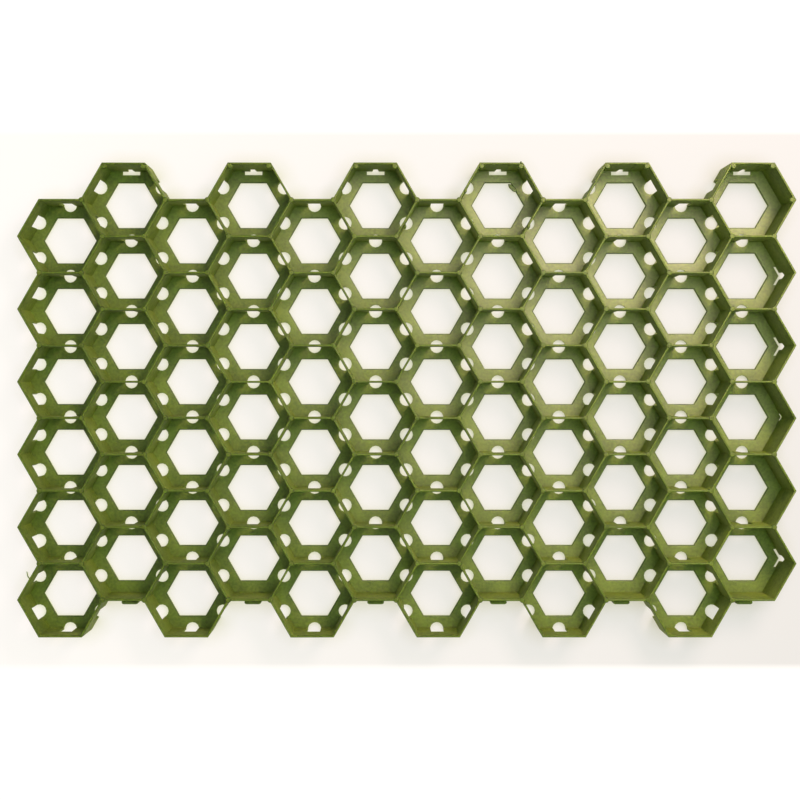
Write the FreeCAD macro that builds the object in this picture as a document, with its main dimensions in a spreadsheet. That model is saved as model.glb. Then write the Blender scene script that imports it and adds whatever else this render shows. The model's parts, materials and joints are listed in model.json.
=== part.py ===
# Grass paver grid: one honeycomb moulded in recycled plastic, lying on its flat floor plate.
# X runs along the columns of cells, Y along the rows and Z up, in millimetres.
# The origin is under the middle of the grid, on the ground.
import FreeCAD, Part
import math
import os
import Sketcher

# Driving dimensions: each name with its value and what it measures
SIZES = (
    ("column_pairs", 6, "pairs of columns, each a low column and the high one to its right"),
    ("rows", 6, "cells in a column"),
    ("cell_pitch", 64.5, "between the middles of two cells that share a wall"),
    ("wall", 2.0, "thickness of the cell walls"),
    ("grid_height", 38.0, "from the underside to the rim"),
    ("floor_thick", 2.5, "thickness of the floor plate that rings each cell"),
    ("opening_flats", 41.0, "across the flats of the hexagonal opening in a cell's floor"),
    ("drain_width", 12.0, "across a drain hole, which is centred under a wall"),
    ("drain_height", 20.5, "from the underside to the top of a drain's window in the wall"),
    ("grid_gap", 2.3, "between the outer walls of two grids that are hooked edge to edge"),
    ("hook_length", 15.1, "head of an edge hook, along its wall"),
    ("hook_thick", 3.0, "head of an edge hook, across"),
    ("hook_neck", 4.9, "width of an edge hook's neck"),
    ("hook_height", 10.0, "from the underside to the top of a hook"),
    ("hook_bevel", 1.1, "bevel along the outer top edge of an edge hook"),
    ("hook_play", 0.5, "clearance of an edge hook in its slot and notch"),
    ("notch_taper", 1.0, "how far each side of an edge notch leans in at its top"),
    ("slot_recess", 0.7, "depth at the rim of the recess above an edge slot, which tapers out downwards"),
    ("corner_reach", 7.9, "from the middle of a corner hook to the end of each arm, along Y"),
    ("corner_thick", 2.0, "arm of a corner hook, across"),
    ("corner_neck", 5.2, "width of a corner hook's neck"),
    ("corner_play", 0.4, "clearance of a corner hook in its slot and notch"),
)

doc = FreeCAD.newDocument("grass_paver_grid")
sheet = doc.addObject("Spreadsheet::Sheet", "sizes")
for line, (name, value, meaning) in enumerate(SIZES, start=1):
    sheet.set(f"A{line}", name)
    sheet.set(f"B{line}", str(value))
    sheet.setAlias(f"B{line}", name)
    sheet.set(f"C{line}", meaning)
doc.recompute()

# Places on the honeycomb, as expressions in the sheet's cells
PITCH = "sizes.cell_pitch"
WALL = "sizes.wall"
COLUMN_STEP = f"({PITCH} * sqrt(3) / 2)"
LOW_X = f"(-(sizes.column_pairs - 0.5) * {COLUMN_STEP})"
HIGH_X = f"({LOW_X} + {COLUMN_STEP})"
LAST_X = f"((sizes.column_pairs - 0.5) * {COLUMN_STEP})"
LOW_Y = f"(-(2 * sizes.rows - 1) / 4 * {PITCH})"
HIGH_Y = f"({LOW_Y} + {PITCH} / 2)"
TO_TOP_ROW = f"((sizes.rows - 1) * {PITCH})"

# The cells that the features start from: each pattern repeats them over the grid
LOW_CELL = (LOW_X, LOW_Y)
HIGH_CELL = (HIGH_X, HIGH_Y)
SECOND_HIGH_CELL = (HIGH_X, f"({HIGH_Y} + {PITCH})")
TOP_LOW_CELL = (LOW_X, f"({LOW_Y} + {TO_TOP_ROW})")
TOP_HIGH_CELL = (HIGH_X, f"({HIGH_Y} + {TO_TOP_ROW})")
LAST_CELL = (LAST_X, HIGH_Y)
CELL_BEFORE_FIRST = (f"({LOW_X} - {COLUMN_STEP})", HIGH_Y)

# Directions from a cell's middle to the middles of its walls, in degrees from X
UPPER_RIGHT, TOP, UPPER_LEFT, LOWER_LEFT, BOTTOM, LOWER_RIGHT = (30, 90, 150, 210, 270, 330)
DRAIN_SIDES = 6

# How far a cutting solid reaches past the faces that it goes through
BEYOND = "1"

# Planes for sketches: the turn from the ground and the axis across the plane
PLANES = {
    "ground": (FreeCAD.Rotation(), "z"),
    "front": (FreeCAD.Rotation(FreeCAD.Vector(1, 0, 0), 90), "y"),
    "side": (FreeCAD.Rotation(FreeCAD.Vector(1, 1, 1), 120), "x"),
}


def measure(expression):
    """Return an expression's value in millimetres."""
    value = sheet.evalExpression(expression)
    return float(getattr(value, "Value", value))


def hexagon(cell, flats):
    """Return the corners of a cell's hexagon with this size across its flats."""
    x, y = cell
    far = f"({flats}) / sqrt(3)"
    near = f"({flats}) / sqrt(3) / 2"
    half = f"({flats}) / 2"
    return [
        (f"{x} + {far}", y),
        (f"{x} + {near}", f"{y} + {half}"),
        (f"{x} - {near}", f"{y} + {half}"),
        (f"{x} - {far}", y),
        (f"{x} - {near}", f"{y} - {half}"),
        (f"{x} + {near}", f"{y} - {half}"),
    ]


def drain_outline(cell, towards):
    """Return the outline of the drain under one wall of a cell, a polygon as large as its circle."""
    x, y = cell
    turn = math.radians(towards)
    half_side = math.pi / DRAIN_SIDES
    to_corner = math.sqrt(2 * half_side / math.sin(2 * half_side))
    corners = []
    for index in range(DRAIN_SIDES):
        angle = turn + (2 * index + 1) * half_side
        east = math.cos(angle) * to_corner
        north = math.sin(angle) * to_corner
        corners.append((
            f"{x} + {PITCH} / 2 * ({math.cos(turn)}) + sizes.drain_width / 2 * ({east})",
            f"{y} + {PITCH} / 2 * ({math.sin(turn)}) + sizes.drain_width / 2 * ({north})",
        ))
    return corners


def chevron(cell, from_wall, thick, reach):
    """Return a V that lies along the two walls at a cell's right corner.

    It starts at a distance from the walls' faces towards the cell's middle.
    """
    x, y = cell
    tip = f"{x} + ({PITCH} - {WALL} - 2 * ({from_wall})) / sqrt(3)"
    inset = f"2 * ({thick}) / sqrt(3)"
    lean = f"({reach}) / sqrt(3)"
    return [
        (tip, y),
        (f"{tip} - {lean}", f"{y} + {reach}"),
        (f"{tip} - {lean} - {inset}", f"{y} + {reach}"),
        (f"{tip} - {inset}", y),
        (f"{tip} - {lean} - {inset}", f"{y} - {reach}"),
        (f"{tip} - {lean}", f"{y} - {reach}"),
    ]


def rectangle(left, right, low, high):
    """Return the corners of an upright rectangle."""
    return [(left, low), (right, low), (right, high), (left, high)]


def sketch_on(plane, name, offset="0"):
    """Add a sketch on a plane of the frame, moved along the axis across that plane."""
    turn, across = PLANES[plane]
    sketch = doc.addObject("Sketcher::SketchObject", name)
    sketch.Placement = FreeCAD.Placement(FreeCAD.Vector(), turn)
    sketch.setExpression(f"Placement.Base.{across}", offset)
    return sketch


def pin_point(sketch, curve, end, x, y):
    """Hold one point of a sketch at a place given by two expressions."""
    for kind, expression in (("DistanceX", x), ("DistanceY", y)):
        hold = Sketcher.Constraint(kind, -1, 1, curve, end, measure(expression))
        sketch.setExpression(f"Constraints[{sketch.addConstraint(hold)}]", expression)


def draw_polygon(sketch, corners):
    """Add a closed outline and hold each of its corners."""
    places = [FreeCAD.Vector(measure(x), measure(y), 0) for x, y in corners]
    first = sketch.GeometryCount
    for start, end in zip(places, places[1:] + places[:1]):
        sketch.addGeometry(Part.LineSegment(start, end))
    for index, (x, y) in enumerate(corners):
        following = first + (index + 1) % len(corners)
        sketch.addConstraint(Sketcher.Constraint("Coincident", first + index, 2, following, 1))
        pin_point(sketch, first + index, 1, x, y)


def draw_arch(sketch, middle, radius, spring):
    """Add an upright outline with a half-round top that springs from this height."""
    left = f"{middle} - {radius}"
    right = f"{middle} + {radius}"
    feet = [FreeCAD.Vector(measure(edge), 0, 0) for edge in (left, right)]
    rise = FreeCAD.Vector(0, measure(spring), 0)
    crown = FreeCAD.Vector(measure(middle), measure(spring) + measure(radius), 0)
    sketch.addGeometry(Part.LineSegment(feet[0], feet[1]))
    sketch.addGeometry(Part.LineSegment(feet[1], feet[1] + rise))
    sketch.addGeometry(Part.Arc(feet[1] + rise, crown, feet[0] + rise))
    sketch.addGeometry(Part.LineSegment(feet[0] + rise, feet[0]))
    sketch.addConstraint(Sketcher.Constraint("Coincident", 0, 2, 1, 1))
    sketch.addConstraint(Sketcher.Constraint("Tangent", 1, 2, 2, 1))
    sketch.addConstraint(Sketcher.Constraint("Tangent", 2, 2, 3, 1))
    sketch.addConstraint(Sketcher.Constraint("Coincident", 3, 2, 0, 1))
    sketch.addConstraint(Sketcher.Constraint("Vertical", 1))
    pin_point(sketch, 0, 1, left, "0")
    pin_point(sketch, 0, 2, right, "0")
    pin_point(sketch, 3, 1, left, spring)


def extrude(name, sketch, length, both_ways=False):
    """Add the solid that a sketch sweeps along its normal."""
    solid = doc.addObject("Part::Extrusion", name)
    solid.Base = sketch
    solid.DirMode = "Normal"
    solid.Solid = True
    solid.Symmetric = both_ways
    solid.setExpression("LengthFwd", length)
    return solid


def block(name, cell):
    """Add the solid that fills a cell and its walls, which overlaps the next cell's by a wall."""
    sketch = sketch_on("ground", f"{name}_outline")
    draw_polygon(sketch, hexagon(cell, f"{PITCH} + {WALL}"))
    return extrude(name, sketch, "sizes.grid_height")


def hollow(name, cell):
    """Add the space inside a cell's walls, above its floor."""
    sketch = sketch_on("ground", f"{name}_outline", "sizes.floor_thick")
    draw_polygon(sketch, hexagon(cell, f"{PITCH} - {WALL}"))
    return extrude(name, sketch, "sizes.grid_height")


def opening(name, cell):
    """Add the hexagonal hole through a cell's floor."""
    sketch = sketch_on("ground", f"{name}_outline", f"-{BEYOND}")
    draw_polygon(sketch, hexagon(cell, "sizes.opening_flats"))
    return extrude(name, sketch, f"sizes.floor_thick + 2 * {BEYOND}")


def drain(name, cell, towards):
    """Add the drain hole that goes up through the floor and into the wall above it.

    The real hole is round. There are hundreds, so each has few sides, and two of
    its corners lie inside the wall, where they end the wall's window.
    """
    sketch = sketch_on("ground", f"{name}_outline", f"-{BEYOND}")
    draw_polygon(sketch, drain_outline(cell, towards))
    return extrude(name, sketch, f"sizes.drain_height + {BEYOND}")


def edge_slot(cell):
    """Add the slot in a top cell's floor that takes the head of the next grid's edge hook."""
    x, y = cell
    face = f"({y} + ({PITCH} - {WALL}) / 2)"
    half_length = "(sizes.hook_length / 2 + sizes.hook_play)"
    sketch = sketch_on("ground", "edge_slot_outline", f"-{BEYOND}")
    draw_polygon(sketch, rectangle(
        f"{x} - {half_length}", f"{x} + {half_length}",
        f"{face} - sizes.hook_thick - sizes.hook_play", face))
    return extrude("edge_slot", sketch, f"sizes.floor_thick + 2 * {BEYOND}")


def edge_notch(cell):
    """Add the tapered notch through a top cell's outer wall that takes the hook's neck."""
    x, y = cell
    outside = f"{y} + ({PITCH} + {WALL}) / 2 + {BEYOND}"
    half_foot = "(sizes.hook_neck / 2 + sizes.hook_play)"
    half_top = f"({half_foot} - sizes.notch_taper)"
    top = "sizes.hook_height + sizes.hook_play"
    sketch = sketch_on("front", "edge_notch_outline", outside)
    draw_polygon(sketch, [
        (f"{x} - {half_foot}", "0"), (f"{x} + {half_foot}", "0"),
        (f"{x} + {half_top}", top), (f"{x} - {half_top}", top)])
    return extrude("edge_notch", sketch, f"{BEYOND} + {WALL} + sizes.hook_play")


def edge_recess(cell):
    """Add the shallow recess that leads down the inside of a top cell's wall to its edge slot."""
    x, y = cell
    face = f"({y} + ({PITCH} - {WALL}) / 2)"
    foot = "(sizes.hook_height + sizes.hook_play)"
    deepest = f"{face} + sizes.slot_recess"
    rim = "sizes.grid_height"
    sketch = sketch_on("side", "edge_recess_outline", x)
    draw_polygon(sketch, [
        (face, foot), (deepest, rim), (deepest, f"{rim} + {BEYOND}"),
        (f"{face} - {BEYOND}", f"{rim} + {BEYOND}"), (f"{face} - {BEYOND}", foot)])
    return extrude("edge_recess", sketch, "sizes.hook_length + 2 * sizes.hook_play", both_ways=True)


def edge_hook(cell):
    """Add a hook on a bottom cell's outer wall: a head that its neck holds behind the next grid's wall."""
    x, y = cell
    face = f"({y} - ({PITCH} + {WALL}) / 2)"
    inner = f"({face} - sizes.grid_gap - {WALL} - sizes.hook_play)"
    outer = f"({inner} - sizes.hook_thick)"
    sketch = sketch_on("ground", "edge_hook_neck_outline")
    draw_polygon(sketch, rectangle(
        f"{x} - sizes.hook_neck / 2", f"{x} + sizes.hook_neck / 2",
        f"{inner} - sizes.hook_thick / 2", f"{face} + {WALL} / 2"))
    neck = extrude("edge_hook_neck", sketch, "sizes.hook_height")
    sketch = sketch_on("side", "edge_hook_head_outline", x)
    draw_polygon(sketch, [
        (inner, "0"), (inner, "sizes.hook_height"),
        (f"{outer} + sizes.hook_bevel", "sizes.hook_height"),
        (outer, "sizes.hook_height - sizes.hook_bevel"), (outer, "0")])
    return neck, extrude("edge_hook_head", sketch, "sizes.hook_length", both_ways=True)


def corner_slot(cell):
    """Add the V slot in the right corner of a cell's floor that takes a corner hook's head."""
    sketch = sketch_on("ground", "corner_slot_outline", f"-{BEYOND}")
    draw_polygon(sketch, chevron(
        cell, "0", "sizes.corner_thick + sizes.corner_play",
        "(sizes.corner_reach + sizes.corner_play)"))
    return extrude("corner_slot", sketch, f"sizes.floor_thick + 2 * {BEYOND}")


def corner_notch(cell):
    """Add the round-topped notch through a cell's right corner that takes the hook's neck."""
    x, y = cell
    radius = "(sizes.corner_neck / 2 + sizes.corner_play)"
    spring = f"(sizes.hook_height + sizes.corner_play - {radius})"
    inside = f"{x} + ({PITCH} - {WALL} - 2 * sizes.corner_thick) / sqrt(3)"
    sketch = sketch_on("side", "corner_notch_outline", inside)
    draw_arch(sketch, y, radius, spring)
    return extrude("corner_notch", sketch, f"2 * ({WALL} + sizes.corner_thick) / sqrt(3) + {BEYOND}")


def corner_hook(cell):
    """Add a V hook in the hollow corner of the outer walls, at the right of an empty cell place."""
    x, y = cell
    from_wall = f"({WALL} + sizes.corner_play)"
    sketch = sketch_on("ground", "corner_hook_head_outline")
    draw_polygon(sketch, chevron(cell, from_wall, "sizes.corner_thick", "sizes.corner_reach"))
    head = extrude("corner_hook_head", sketch, "sizes.hook_height")
    sketch = sketch_on("ground", "corner_hook_neck_outline")
    draw_polygon(sketch, rectangle(
        f"{x} + ({PITCH} - {WALL} - 2 * {from_wall} - sizes.corner_thick) / sqrt(3)",
        f"{x} + {PITCH} / sqrt(3)",
        f"{y} - sizes.corner_neck / 2", f"{y} + sizes.corner_neck / 2"))
    return head, extrude("corner_hook_neck", sketch, "sizes.hook_height")


def repeat(pieces, across, upwards):
    """Return copies of some solids, on every second column across and every row upwards."""
    column_step = 2 * measure(COLUMN_STEP)
    row_step = measure(PITCH)
    copies = []
    for column in range(across):
        for row in range(upwards):
            move = FreeCAD.Vector(column * column_step, row * row_step, 0)
            copies += [piece.Shape.translated(move) for piece in pieces]
    return copies


def cut(solid, cutters):
    """Cut copies of a space out of a solid, and stop if they miss it."""
    left = solid.cut(cutters)
    if left.Volume >= solid.Volume:
        raise RuntimeError("a cut removed nothing")
    return left


# Seed solids in the first cells: pairs hold the low column's and the high column's
blocks = [block("low_block", LOW_CELL), block("high_block", HIGH_CELL)]
hollows = [hollow("low_hollow", LOW_CELL), hollow("high_hollow", HIGH_CELL)]
openings = [opening("low_opening", LOW_CELL), opening("high_opening", HIGH_CELL)]
edge_hooks = edge_hook(HIGH_CELL)
corner_hooks = corner_hook(CELL_BEFORE_FIRST)
edge_slots = [edge_slot(TOP_HIGH_CELL)]
edge_notches = [edge_notch(TOP_HIGH_CELL), edge_recess(TOP_HIGH_CELL)]
corner_slots = [corner_slot(LAST_CELL)]
corner_notches = [corner_notch(LAST_CELL)]

# Drains are under every wall between two cells, and under the outer walls on the left
# and along the low columns. The outer walls with a hook or slot, and those on the right, have none.
drains = [
    drain("low_upper_left_drain", LOW_CELL, UPPER_LEFT),
    drain("low_lower_left_drain", LOW_CELL, LOWER_LEFT),
    drain("low_bottom_drain", LOW_CELL, BOTTOM),
    drain("high_upper_left_drain", HIGH_CELL, UPPER_LEFT),
    drain("high_lower_left_drain", HIGH_CELL, LOWER_LEFT),
]
high_bottom_drains = [drain("high_bottom_drain", SECOND_HIGH_CELL, BOTTOM)]
low_edge_drains = [
    drain("low_top_drain", TOP_LOW_CELL, TOP),
    drain("low_lower_right_drain", LOW_CELL, LOWER_RIGHT),
]
high_edge_drains = [drain("high_upper_right_drain", TOP_HIGH_CELL, UPPER_RIGHT)]

doc.recompute()
for item in doc.Objects:
    if "Invalid" in item.State or "Error" in item.State:
        raise RuntimeError(f"{item.Name} failed: {item.State}")

# One solid: blocks and hooks fused, then hollowed, opened, drained and notched
pairs = round(measure("sizes.column_pairs"))
rows = round(measure("sizes.rows"))
filled = repeat(blocks, pairs, rows) + repeat(edge_hooks, pairs, 1) + repeat(corner_hooks, 1, rows - 1)
solid = filled[0].fuse(filled[1:]).removeSplitter()
solid = cut(solid, repeat(hollows, pairs, rows))
solid = cut(solid, repeat(openings, pairs, rows))
solid = cut(solid, repeat(edge_slots, pairs, 1) + repeat(corner_slots, 1, rows - 1))
solid = cut(solid, repeat(edge_notches, pairs, 1) + repeat(corner_notches, 1, rows - 1))
solid = cut(solid, repeat(drains, pairs, rows) + repeat(high_bottom_drains, pairs, rows - 1)
            + repeat(low_edge_drains, pairs, 1) + repeat(high_edge_drains, pairs - 1, 1))

grid = doc.addObject("Part::Feature", "paver_grid")
grid.Label = "paver_grid"
grid.Shape = solid.Solids[0]
grid.Placement = FreeCAD.Placement()
if grid.Shape.isNull() or not grid.Shape.isValid() or len(solid.Solids) != 1:
    raise RuntimeError("the grid is not one valid solid")

os.makedirs("parts", exist_ok=True)
grid.Shape.exportStep(f"parts/{grid.Label}.step")
box = grid.Shape.BoundBox
print(f"{grid.Label}: {box.XLength:.1f} x {box.YLength:.1f} x {box.ZLength:.1f} mm,"
      f" {grid.Shape.Volume / 1000:.1f} cm3, {len(grid.Shape.Faces)} faces")
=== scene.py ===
# %% [markdown]
# # A grass paver grid
# This lesson dresses one moulded plastic paver: 72 hexagonal cells in 12 columns of 6, with a
# ring of floor in each cell, drain windows under the walls, and hooks and slots along its edges.
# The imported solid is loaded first, and everything that is made here lies where that solid is.

# %% Load the frame
import bmesh
import bpy
import json
import math
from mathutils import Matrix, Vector

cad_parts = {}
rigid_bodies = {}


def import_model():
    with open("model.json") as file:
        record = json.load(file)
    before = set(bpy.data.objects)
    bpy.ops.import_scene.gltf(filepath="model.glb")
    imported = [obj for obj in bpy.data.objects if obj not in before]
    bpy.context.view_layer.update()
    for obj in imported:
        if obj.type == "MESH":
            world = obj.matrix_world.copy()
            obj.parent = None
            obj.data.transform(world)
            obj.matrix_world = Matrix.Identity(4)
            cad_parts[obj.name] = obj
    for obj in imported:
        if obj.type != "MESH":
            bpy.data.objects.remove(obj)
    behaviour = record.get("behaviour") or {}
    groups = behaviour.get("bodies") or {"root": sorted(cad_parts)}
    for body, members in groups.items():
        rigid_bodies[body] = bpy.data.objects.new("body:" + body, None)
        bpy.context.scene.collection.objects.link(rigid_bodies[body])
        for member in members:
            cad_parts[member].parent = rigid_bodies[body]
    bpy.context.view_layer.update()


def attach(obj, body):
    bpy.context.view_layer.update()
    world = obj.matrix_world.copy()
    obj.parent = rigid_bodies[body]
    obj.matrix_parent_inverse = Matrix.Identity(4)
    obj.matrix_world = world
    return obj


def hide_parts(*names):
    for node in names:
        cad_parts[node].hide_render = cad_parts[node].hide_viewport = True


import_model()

# %% [markdown]
# ## Sizes of a cell
# All the cells come from one mould tool, so a dozen sizes describe the whole grid. They are the
# part's own sizes, in millimetres, with three small ones added that the solid leaves out: how far
# a wall's face leans back, so that the mould comes off, and the chamfers on its rim and floor.

# %% Sizes in millimetres
MM = 0.001
COLUMNS, ROWS = 12, 6
PITCH, WALL, HEIGHT = 64.5, 2.0, 38.0
FLOOR, OPENING = 2.5, 41.0
DRAIN, DRAIN_TOP = 12.0, 20.5
DRAFT, RIM, LIP = 0.1, 0.3, 0.8

HALF = PITCH / 2
FACE = HALF - WALL / 2
OUTSIDE = HALF + WALL / 2
LEAN = math.tan(math.radians(30))
CORNER = HALF * LEAN
STEP = PITCH * math.sqrt(3) / 2
print(f"a cell is {2 * FACE:.1f} mm across its walls, and its columns are {STEP:.2f} mm apart")

# %% [markdown]
# ## A shell of faces
# A moulding is a skin without seams. Modelling tools could cut it from solids, but cuts leave
# long thin faces that shade badly. Here each surface is laid down as a patch of neat rows of
# points, and a point that two patches name is shared, so the patches close up by themselves.

# %% Rows of points become faces
class Shell:
    """Points and faces in millimetres, laid down at a turn about a middle."""

    def __init__(self):
        self.points = {}
        self.faces = []
        self.turn = 0.0
        self.middle = (0.0, 0.0)

    def face(self, corners):
        """Add one face. Corners that fall together become one."""
        cos, sin = math.cos(self.turn), math.sin(self.turn)
        ring = []
        for x, y, z in corners:
            east = round(self.middle[0] + x * cos - y * sin, 3)
            north = round(self.middle[1] + x * sin + y * cos, 3)
            number = self.points.setdefault((east, north, round(z, 3)), len(self.points))
            if number not in ring:
                ring.append(number)
        if len(ring) > 2:
            self.faces.append(ring)

    def patch(self, rows):
        """Add the faces between each row of points and the next."""
        for low, high in zip(rows, rows[1:]):
            for n in range(len(low) - 1):
                self.face([low[n], low[n + 1], high[n + 1], high[n]])

    def mesh(self, name):
        """Return the shell as a mesh in metres."""
        made = bpy.data.meshes.new(name)
        made.from_pydata([[value * MM for value in place] for place in self.points], [], self.faces)
        return made


# %% [markdown]
# ## One side of a cell
# Seen from above, a cell is six equal wedges, each with one wall. A wedge is drawn once with its
# wall square to X: rows of points go from the middle of the rim down the wall's face, across the
# floor, round the lip of the opening and back under the floor. A column of points is named by
# its place along the wall, and the last column runs down the line where two walls meet.

# %% Where a column of points runs
def face_at(z):
    """How far the wall's inner face is from the middle of the cell at a height."""
    return FACE + DRAFT * max(0.0, z - FLOOR) / (HEIGHT - FLOOR)


def on_wall(y, z, inset=0.0):
    """A point on the inner face of the wall, at a depth into the plastic."""
    x = face_at(z) + inset
    return x, math.copysign(x * LEAN, y) if abs(y) == CORNER else y, z


def on_floor(y, z, x):
    """A point of the floor on the column's way from the wall to the opening."""
    slope = LEAN if abs(y) == CORNER else abs(y) / FACE
    return x, math.copysign(x * slope, y), z


def rim_rows(ys):
    """From the middle of the rim, over its edge and down to the drain's height."""
    return [
        [(HALF, y, HEIGHT) for y in ys],
        [on_wall(y, HEIGHT, RIM) for y in ys],
        [on_wall(y, HEIGHT - RIM) for y in ys],
        [on_wall(y, DRAIN_TOP) for y in ys],
    ]


def foot_row(ys):
    """Where the wall stands on the floor."""
    return [on_wall(y, FLOOR) for y in ys]


def lip_rows(ys):
    """The lip of the floor's opening, down to the underside."""
    edge = OPENING / 2
    return [
        [on_floor(y, FLOOR, edge + LIP) for y in ys],
        [on_floor(y, FLOOR - LIP, edge) for y in ys],
        [on_floor(y, 0, edge) for y in ys],
    ]


print(f"a wall is {WALL} mm thick at its foot and {WALL - 2 * DRAFT:.1f} mm at its rim")


# %% [markdown]
# ## A plain side and a drained side
# The plain side is one patch from rim to underside. In a drained side, a round hole 12 mm across
# goes up through the floor and half way up the wall, so the floor shows a half round and the
# wall a window. The columns there lie on the circle, and short patches line the hole.

# %% Plain and drained sides
def both_ways(ys):
    """Columns on both sides of the middle, from places on one side."""
    return [-y for y in reversed(ys)] + [y for y in ys if y > 0]


def plain_side(shell):
    """A side whose wall has no hole."""
    ys = both_ways([0.0, CORNER])
    under = [[on_wall(y, 0) for y in ys], [(HALF, y, 0) for y in ys]]
    shell.patch(rim_rows(ys) + [foot_row(ys)] + lip_rows(ys) + under)


HOLE_EDGE = math.sqrt((DRAIN / 2) ** 2 - (WALL / 2) ** 2)
HOLE_SPREAD = DRAIN / 2 / HOLE_EDGE
HOLE_ANGLE = math.asin(HOLE_EDGE / (DRAIN / 2))
HOLE = [DRAIN / 2 * math.sin(HOLE_ANGLE * share) for share in (0, 1 / 3, 2 / 3)] + [HOLE_EDGE]
BESIDE_HOLE = [HOLE_EDGE, 11.0, CORNER]


def on_hole(y, z):
    """A point on the half of the drain hole that is in this cell."""
    return HALF - math.sqrt((DRAIN / 2) ** 2 - y ** 2), y, z


def window(shell, hole, on_face, levels):
    """Line the drain's window from a face of the wall to the wall's middle."""
    shell.patch([[on_face(y, DRAIN_TOP) for y in hole],
                 [(HALF, y * HOLE_SPREAD, DRAIN_TOP) for y in hole]])
    for y in (hole[0], hole[-1]):
        shell.patch([[on_face(y, z), (HALF, y * HOLE_SPREAD, z)] for z in levels])


def drained_side(shell):
    """A side with a drain hole under its wall."""
    hole = both_ways(HOLE)
    ys = both_ways(HOLE + BESIDE_HOLE[1:])
    shell.patch(rim_rows(ys))
    for part in (BESIDE_HOLE, [-y for y in BESIDE_HOLE]):
        under = [[on_wall(y, 0) for y in part]]
        shell.patch([rim_rows(part)[-1], foot_row(part)] + lip_rows(part) + under)
        middle = [part[0] * HOLE_SPREAD] + part[1:]
        shell.patch([[on_wall(y, 0) for y in part], [(HALF, y, 0) for y in middle]])
    shell.patch([[on_hole(y, FLOOR) for y in hole]] + lip_rows(hole) + [[on_hole(y, 0) for y in hole]])
    shell.patch([[on_hole(y, FLOOR) for y in hole], [on_hole(y, 0) for y in hole]])
    window(shell, hole, on_wall, (DRAIN_TOP, FLOOR, 0))


# %% [markdown]
# ## Sides with a slot
# The next paver's hooks come up through slots in the floor, and their necks through notches in
# the outer wall. An edge slot lies along a top wall, under a shallow recess that leads a hook
# down to it. A corner slot is half of a V in a right corner. Their faces have more corners than
# four where a slot meets the wall, and each is still flat, so it shades as one face.

# %% Edge slot
SLOT_END, SLOT_DEPTH = 8.05, 3.5
NOTCH_TOP, NOTCH_FOOT_HALF, NOTCH_TOP_HALF = 10.5, 2.95, 1.95
RECESS, RECESS_FOOT = 0.7, FLOOR
# The recess ends in a small chamfer at the rim: how far back it reaches, and how far down
CHAMFER_BACK, CHAMFER_DROP = FACE + 0.88, 0.2


def notch_side(z):
    """Half the width of an edge notch at a height."""
    return NOTCH_FOOT_HALF + (NOTCH_TOP_HALF - NOTCH_FOOT_HALF) * z / NOTCH_TOP


def in_recess(y, z):
    """A point on the tapered recess above an edge slot."""
    depth = RECESS * max(0.0, z - RECESS_FOOT) / (HEIGHT - RECESS_FOOT)
    return FACE + depth, y, z


def edge_slot_side(shell):
    """A side with an edge slot, its notch, and the recess above it."""
    thin = HEIGHT - CHAMFER_DROP
    slot = FACE - SLOT_DEPTH
    inner = [-SLOT_END, -NOTCH_TOP_HALF, NOTCH_TOP_HALF, SLOT_END]
    shell.patch([[(HALF, y, HEIGHT) for y in inner], [(CHAMFER_BACK, y, HEIGHT) for y in inner],
                 [in_recess(y, thin) for y in inner]])
    shell.face([in_recess(y, z) for y, z in ((-NOTCH_TOP_HALF, thin), (NOTCH_TOP_HALF, thin),
                                             (NOTCH_TOP_HALF, NOTCH_TOP), (-NOTCH_TOP_HALF, NOTCH_TOP))])
    shell.patch([[(slot, y, FLOOR) for y in inner]] + lip_rows(inner) + [[(slot, y, 0) for y in inner]])
    shell.patch([[(slot, y, FLOOR) for y in inner], [(slot, y, 0) for y in inner]])
    shell.patch([[in_recess(y, NOTCH_TOP) for y in inner[1:3]], [(HALF, y, NOTCH_TOP) for y in inner[1:3]]])
    for side in (-1, 1):
        end = side * SLOT_END
        part = [end, side * CORNER]
        rim, foot, lip = rim_rows(part), foot_row(part), lip_rows(part)
        shell.patch([row[1:] for row in rim[:2]])
        shell.face([rim[0][0], (CHAMFER_BACK, end, HEIGHT), rim[1][0], rim[1][1], rim[0][1]])
        shell.patch(rim[1:] + [foot])
        shell.patch([row[1:] for row in (foot, lip[0])])
        shell.face([foot[0], (slot, end, FLOOR), lip[0][0], lip[0][1], foot[1]])
        shell.patch(lip)
        below = [on_wall(y, 0) for y in part]
        shell.face([lip[-1][0], (slot, end, 0), below[0], below[1], lip[-1][1]])
        shell.patch([lip[-1][1:], below[1:]])
        shell.patch([below, [(HALF, y, 0) for y in part]])
        # The recess's end, the two panels beside the notch, the slot's end and the notch's side
        shell.face([row[0] for row in rim[1:]] + [foot[0], in_recess(end, thin), (CHAMFER_BACK, end, HEIGHT)])
        top, middle = side * NOTCH_TOP_HALF, side * notch_side(RECESS_FOOT)
        low = side * NOTCH_FOOT_HALF
        shell.face([in_recess(end, thin), foot[0], in_recess(middle, RECESS_FOOT),
                    in_recess(top, NOTCH_TOP), in_recess(top, thin)])
        shell.face([foot[0], below[0], (FACE, low, 0), in_recess(middle, RECESS_FOOT)])
        shell.face([foot[0], (slot, end, FLOOR), (slot, end, 0), below[0]])
        edge = [(top, NOTCH_TOP), (middle, RECESS_FOOT), (low, 0)]
        shell.patch([[in_recess(y, z) for y, z in edge], [(HALF, y, z) for y, z in edge]])
        shell.face([below[0], (FACE, low, 0), (HALF, low, 0), (HALF, end, 0)])


# %% Corner slot
ARM_REACH, ARM_WIDTH = 8.3, 2.4
ARCH, ARCH_TOP = 3.0, 10.4
UPRIGHT = math.cos(math.radians(30))
ARCH_STEPS = (0.0, 1.5, 2.6, ARCH)


def arch_height(off_middle):
    """Height of a corner notch's round top, at a distance from its middle."""
    return ARCH_TOP - ARCH + math.sqrt(ARCH ** 2 - off_middle ** 2)


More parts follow.
